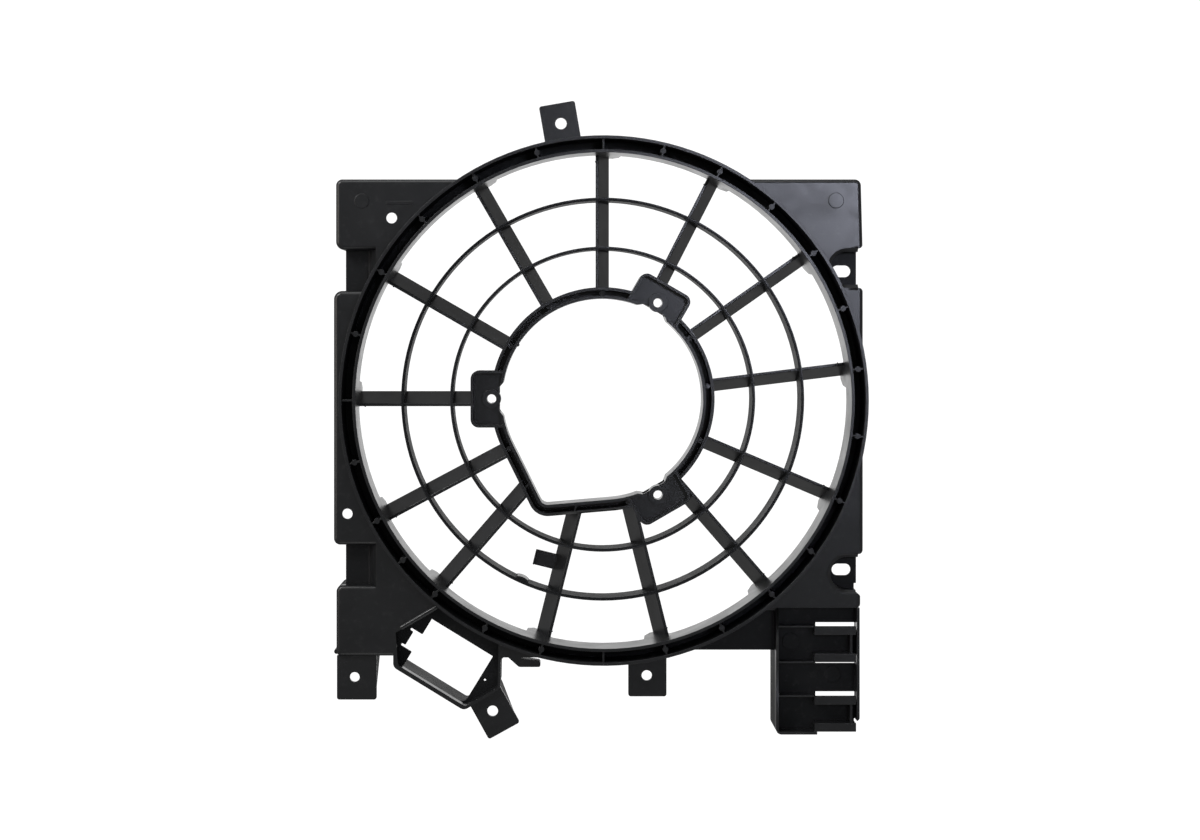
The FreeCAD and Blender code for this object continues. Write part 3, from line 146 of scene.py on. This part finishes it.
def coarseZones(tree, place):
    # 1 inside the zones and 0 elsewhere
    flat = addNode(tree, "ShaderNodeVectorMath", {"operation": "MULTIPLY"}, _0=place,
                   _1=(1.0, 0.0, 1.0))
    out = addNode(tree, "ShaderNodeVectorMath", {"operation": "LENGTH"},
                  _0=flat.outputs["Vector"])
    split = addNode(tree, "ShaderNodeSeparateXYZ", None, _0=place)
    readings = {"out": out.outputs["Value"], "deep": split.outputs["Y"]}
    found = 0.0
    for limits in coarse["zones"].values():
        inside = 1.0
        for reading, edge, fade in limits:
            past = addNode(tree, "ShaderNodeMapRange", None, _0=readings[reading],
                           _1=edge * mm, _2=(edge + fade) * mm)
            inside = addNode(tree, "ShaderNodeMath", {"operation": "MULTIPLY"}, _0=inside,
                             _1=past.outputs["Result"]).outputs["Value"]
        found = addNode(tree, "ShaderNodeMath", {"operation": "MAXIMUM"}, _0=found,
                        _1=inside).outputs["Value"]
    return found


def mouldedPolyamide():
    made, tree = newMaterial("mouldedPolyamide")
    place = addNode(tree, "ShaderNodeTexCoord").outputs["Object"]
    noise = {}
    for name, (size, detail, roughness, distortion) in polyamide["patterns"].items():
        noise[name] = addNode(tree, "ShaderNodeTexNoise", None, Vector=place,
                              Scale=1 / (size * mm), Detail=detail, Roughness=roughness,
                              Distortion=distortion).outputs["Fac"]
    fibre = addNode(tree, "ShaderNodeMix", {"data_type": "RGBA"}, _0=noise["streak"],
                    _6=linear(polyamide["black"]), _7=linear(polyamide["grey"]))
    least, most, strength = polyamide["worn"]
    worn = addNode(tree, "ShaderNodeMapRange", None, _0=noise["scuff"], _1=least, _2=most,
                   _3=0.0, _4=strength)
    colour = addNode(tree, "ShaderNodeMix", {"data_type": "RGBA"}, _0=worn.outputs["Result"],
                     _6=fibre.outputs[2], _7=linear(polyamide["dust"]))
    first, last = polyamide["streaked"]
    low, high = polyamide["roughness"]
    rough = addNode(tree, "ShaderNodeMapRange", None, _0=noise["streak"], _1=first, _2=last,
                    _3=low, _4=high)
    shadeAndDullWeight = coarseZones(tree, place)
    rougher = addNode(tree, "ShaderNodeMath", {"operation": "MULTIPLY_ADD"}, _0=shadeAndDullWeight,
                      _1=coarse["rougher"], _2=rough.outputs["Result"])
    # lower specular level inside the zones: painted shade in the channel and on the deep faces,
    # a duller finish on the guard rings
    sheen = addNode(tree, "ShaderNodeMapRange", None, _0=shadeAndDullWeight, _3=polyamide["sheen"],
                    _4=polyamide["sheen"] * coarse["sheenLeft"])
    bump = addNode(tree, "ShaderNodeBump", None, Height=noise["grain"],
                   Strength=polyamide["grainStrength"], Distance=polyamide["grainDepth"] * mm)
    shader = addNode(tree, "ShaderNodeBsdfPrincipled", None, Roughness=rougher.outputs["Value"],
                     Normal=bump.outputs["Normal"], IOR=polyamide["refraction"])
    tree.links.new(sheen.outputs["Result"], shader.inputs["Specular IOR Level"])
    tree.links.new(colour.outputs[2], shader.inputs["Base Color"])
    addNode(tree, "ShaderNodeOutputMaterial", None, Surface=shader.outputs["BSDF"])
    return made


plastic = mouldedPolyamide()
print("material made")


def pieceFrom(shape, name):
    # a finished piece: its place is in its mesh, and it rides on the one body
    data = bpy.data.meshes.new(name)
    shape.to_mesh(data)
    shape.free()
    made = bpy.data.objects.new(name, data)
    bpy.context.scene.collection.objects.link(made)
    data.materials.append(plastic)
    for face in data.polygons:
        face.use_smooth = True
    made.modifiers.new("weighted", "WEIGHTED_NORMAL").keep_sharp = True
    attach(made, "root")
    return made


# a moulding has no sharp edges: each member is softened by the tool's own radius, but not
# where it meets its neighbour, because there the plastic runs on
softening = {
    "radius": 0.35,
    "broad": {"fan_ring": 1.0, "slotted_ear_upper": 1.0, "slotted_ear_lower": 1.0,
              "recess_upper_left": 1.0, "recess_lower_left": 1.0, "resistor_frame": 0.8,
              "relay_bracket": 0.6, "panel_bottom_right": 1.6},
    "segments": 3,
    "sharpFrom": 32.0,   # degrees between two faces from which their edge is rounded
    "sameCorner": 0.002,
    "flatWithin": 0.15,  # degrees within which faces are one face
    "meets": 0.08,       # how near a neighbour's face counts as meeting it
}


def mergedCopy(node):
    shape = bmesh.new()
    shape.from_mesh(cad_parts[node].data)
    bmesh.ops.remove_doubles(shape, verts=shape.verts, dist=softening["sameCorner"] * mm)
    bmesh.ops.dissolve_limit(shape, angle_limit=math.radians(softening["flatWithin"]),
                             verts=shape.verts, edges=shape.edges)
    return shape


members = {node: mergedCopy(node) for node in sorted(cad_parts)}
surfaces = {node: BVHTree.FromBMesh(shape) for node, shape in members.items()}
corners = {node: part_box(node) for node in members}


def neighboursOf(node):
    low, high = corners[node]
    gap = softening["meets"] * mm
    return [surfaces[other] for other, (least, most) in corners.items()
            if other != node and all(least[i] < high[i] + gap and low[i] < most[i] + gap
                                     for i in range(3))]


def softened(node):
    shape = members[node]
    neighbours = neighboursOf(node)
    limit = math.radians(softening["sharpFrom"])
    sharp = []
    for edge in shape.edges:
        if not edge.is_manifold or edge.calc_face_angle(0.0) < limit:
            continue
        middle = (edge.verts[0].co + edge.verts[1].co) / 2
        if all(surface.find_nearest(middle, softening["meets"] * mm)[0] is None
               for surface in neighbours):
            sharp.append(edge)
        else:
            edge.smooth = False
    radius = softening["broad"].get(node, softening["radius"])
    bmesh.ops.bevel(shape, geom=sharp, offset=radius * mm, offset_type="OFFSET",
                    segments=softening["segments"], profile=0.5, affect="EDGES",
                    clamp_overlap=True, material=-1)
    made = pieceFrom(shape, node + "_moulded")
    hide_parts(node)


for node in members:
    softened(node)
print("members softened")


def placed(shape, kind, place, size, bearing=0.0, sides=32):
    # adds a block or a rod along Y, of that size across X, Y and Z, at that place, then
    # turns it about the hub from +X towards +Z
    if kind == "block":
        verts = bmesh.ops.create_cube(shape, size=1.0)["verts"]
    else:
        verts = bmesh.ops.create_cone(shape, cap_ends=True, segments=sides, radius1=0.5,
                                      radius2=0.5, depth=1.0)["verts"]
        bmesh.ops.rotate(shape, verts=verts, matrix=Matrix.Rotation(math.pi / 2, 3, "X"))
    bmesh.ops.scale(shape, verts=verts, vec=Vector(size) * mm)
    bmesh.ops.translate(shape, verts=verts, vec=Vector(place) * mm)
    bmesh.ops.rotate(shape, verts=verts, cent=(0, 0, 0),
                     matrix=Matrix.Rotation(-math.radians(bearing), 3, "Y"))


rounding = {"segments": 2, "sharpFrom": 40.0}  # of the small pieces' edges


def rounded(shape, radius):
    limit = math.radians(rounding["sharpFrom"])
    sharp = [edge for edge in shape.edges if edge.calc_face_angle(0.0) > limit]
    bmesh.ops.bevel(shape, geom=sharp, offset=radius * mm, offset_type="OFFSET",
                    segments=rounding["segments"], profile=0.5, affect="EDGES",
                    clamp_overlap=True, material=-1)


# the pins that push the moulding out of its tool leave discs a hair proud of the faces
ejectorMarks = {
    "proud": 0.5,
    "edge": 0.45,
    "sides": 48,
    # X and Z of each, the face that it is on, and its radius
    "discs": [(-171.9, 141.6, -16.0, 5.3), (165.9, 141.9, -16.0, 5.6),
              (135.0, -173.9, -6.0, 6.4), (164.8, -197.2, -6.0, 6.0)],
}


def makeEjectorMarks():
    shape = bmesh.new()
    thickness = 2 * ejectorMarks["proud"]
    for x, z, face, radius in ejectorMarks["discs"]:
        placed(shape, "rod", (x, face, z), (2 * radius, thickness, 2 * radius),
               sides=ejectorMarks["sides"])
    rounded(shape, ejectorMarks["edge"])
    pieceFrom(shape, "ejector_marks")


# a low bar on the upper left panel, where the tool was blocked off
toolBar = {"place": (-145.0, -16.0, 140.3), "size": (19.0, 0.6, 2.5), "edge": 0.25}


def makeToolBar():
    shape = bmesh.new()
    placed(shape, "block", toolBar["place"], toolBar["size"])
    rounded(shape, toolBar["edge"])
    pieceFrom(shape, "tool_bar")


# what is left of the runner: a swelling inside the outer guard ring, a torn nub inside the
# motor ring, and a stub on the lower left panel's edge
gateRests = {
    "edge": 0.3,
    # distance from the hub, bearing, depth of the middle, and size
    "rods": [(141.9, 246.0, 4.0, (3.4, 15.0, 9.6)), (72.3, 147.4, -2.6, (2.2, 3.0, 2.6))],
    "stub": {"place": (-190.2, 2.0, -179.8), "size": (3.6, 30.0, 3.6)},
}


def makeGateRests():
    shape = bmesh.new()
    for distance, bearing, depth, size in gateRests["rods"]:
        placed(shape, "rod", (distance, depth, 0.0), size, bearing)
    placed(shape, "rod", gateRests["stub"]["place"], gateRests["stub"]["size"])
    rounded(shape, gateRests["edge"])
    pieceFrom(shape, "gate_rests")


# the cable clip's free end is turned up towards the viewer
clipLip = {"place": (124.1, 15.3, -19.3), "size": (11.2, 2.2, 1.2), "bearing": 256.0,
           "edge": 0.4}


def makeClipLip():
    shape = bmesh.new()
    placed(shape, "block", clipLip["place"], clipLip["size"], clipLip["bearing"])
    rounded(shape, clipLip["edge"])
    pieceFrom(shape, "clip_lip")


# a thin collar runs across each vane's front near the ring
vaneCollars = {
    "bearings": (7, 35, 63, 90, 120, 150, 180, 208, 229, 256, 284, 311, 337),
    "distance": 170.6,
    "shift": 4.1,        # of a vane's front edge from its own bearing
    "size": (1.0, 1.2, 3.0),
    "front": -4.0,
    "edge": 0.25,
}


def makeVaneCollars():
    shape = bmesh.new()
    for bearing in vaneCollars["bearings"]:
        placed(shape, "block", (vaneCollars["distance"], vaneCollars["front"],
                                vaneCollars["shift"]), vaneCollars["size"], bearing)
    rounded(shape, vaneCollars["edge"])
    pieceFrom(shape, "vane_collars")


# a rounded ridge along the resistor frame's upper left wall
frameRidge = {"from": (-144.5, -15.7, -163.0), "to": (-117.7, -15.7, -147.2), "radius": 1.7,
              "sides": 24, "edge": 1.2}


def makeFrameRidge():
    start, end = Vector(frameRidge["from"]) * mm, Vector(frameRidge["to"]) * mm
    shape = bmesh.new()
    bmesh.ops.create_cone(shape, cap_ends=True, segments=frameRidge["sides"],
                          radius1=frameRidge["radius"] * mm, radius2=frameRidge["radius"] * mm,
                          depth=(end - start).length)
    turned = (end - start).to_track_quat("Z", "Y").to_matrix()
    bmesh.ops.rotate(shape, verts=shape.verts, matrix=turned)
    bmesh.ops.translate(shape, verts=shape.verts, vec=(start + end) / 2)
    rounded(shape, frameRidge["edge"])
    pieceFrom(shape, "frame_ridge")


makeEjectorMarks()
makeToolBar()
makeFrameRidge()
makeGateRests()
makeClipLip()
makeVaneCollars()
print("small marks made")


# white paper below and all round, which only the camera sees, so that the black part
# mirrors the lamps and the dark of the room and not the paper
studio = {
    "white": "#ffffff",
    "glow": 1.1,
    "floor": -420.0,     # its height, from the hub
    "radius": 9000.0,    # of the paper room
    "floorSides": 64,
    "roomDivisions": 4,
}


def makeStage():
    paper, tree = newMaterial("mattPaper")
    glow = addNode(tree, "ShaderNodeEmission", None, Color=linear(studio["white"]),
                   Strength=studio["glow"])
    addNode(tree, "ShaderNodeOutputMaterial", None, Surface=glow.outputs["Emission"])

    floor = bmesh.new()
    bmesh.ops.create_circle(floor, cap_ends=True, segments=studio["floorSides"],
                            radius=studio["radius"] * mm)
    bmesh.ops.translate(floor, verts=floor.verts, vec=(0, 0, studio["floor"] * mm))
    room = bmesh.new()
    bmesh.ops.create_icosphere(room, subdivisions=studio["roomDivisions"],
                               radius=studio["radius"] * mm)
    bmesh.ops.reverse_faces(room, faces=room.faces)
    for name, shape in (("floor", floor), ("room", room)):
        data = bpy.data.meshes.new(name)
        shape.to_mesh(data)
        shape.free()
        data.materials.append(paper)
        made = bpy.data.objects.new(name, data)
        bpy.context.scene.collection.objects.link(made)
        made.visible_diffuse = False
        made.visible_glossy = False
        made.visible_transmission = False
        made.visible_shadow = False


# soft boxes: one behind the part makes the walls that run away from the camera glint,
# the others are in front, and a grid narrows the one that lights the upper right panel
lamps = {
    "behind": {"place": (0, 1100, 0), "aim": (0, 0, 0), "size": 760, "watts": 2.2,
               "colour": "#ffffff"},
    "upperRight": {"place": (530, -1500, 360), "aim": (155, 0, 130), "size": 380,
                   "watts": 0.22, "spread": 24.0, "colour": "#e8ecff"},
    "above": {"place": (-100, -500, 1500), "aim": (0, 0, 0), "size": 900, "watts": 6.0,
              "colour": "#ffffff"},
    "left": {"place": (-1500, -700, 200), "aim": (0, 0, 0), "size": 800, "watts": 5.0,
             "colour": "#fff6ec"},
    "upperLeft": {"place": (-1010, -750, 980), "aim": (0, 0, 0), "size": 500, "watts": 11.0,
                  "colour": "#ffffff"},
    "below": {"place": (100, -700, -1500), "aim": (0, 0, 0), "size": 900, "watts": 3.0,
              "colour": "#ffffff"},
}
roomLight = {"colour": "#ffffff", "strength": 0.23}  # dim, from all round


def makeLamps():
    for name, lamp in lamps.items():
        data = bpy.data.lights.new(name, "AREA")
        data.energy = lamp["watts"]
        data.size = lamp["size"] * mm
        data.spread = math.radians(lamp.get("spread", 180.0))
        data.color = linear(lamp["colour"])[:3]
        made = bpy.data.objects.new(name, data)
        made.location = Vector(lamp["place"]) * mm
        aim = Vector(lamp["aim"]) * mm - made.location
        made.rotation_euler = aim.to_track_quat("-Z", "Y").to_euler()
        made.visible_camera = False
        bpy.context.scene.collection.objects.link(made)
    world = bpy.data.worlds.new("studio")
    world.use_nodes = True
    background = world.node_tree.nodes["Background"]
    background.inputs["Color"].default_value = linear(roomLight["colour"])
    background.inputs["Strength"].default_value = roomLight["strength"]
    bpy.context.scene.world = world
    bpy.context.scene.view_settings.view_transform = "Standard"


makeStage()
makeLamps()
print("stage and lamps placed")
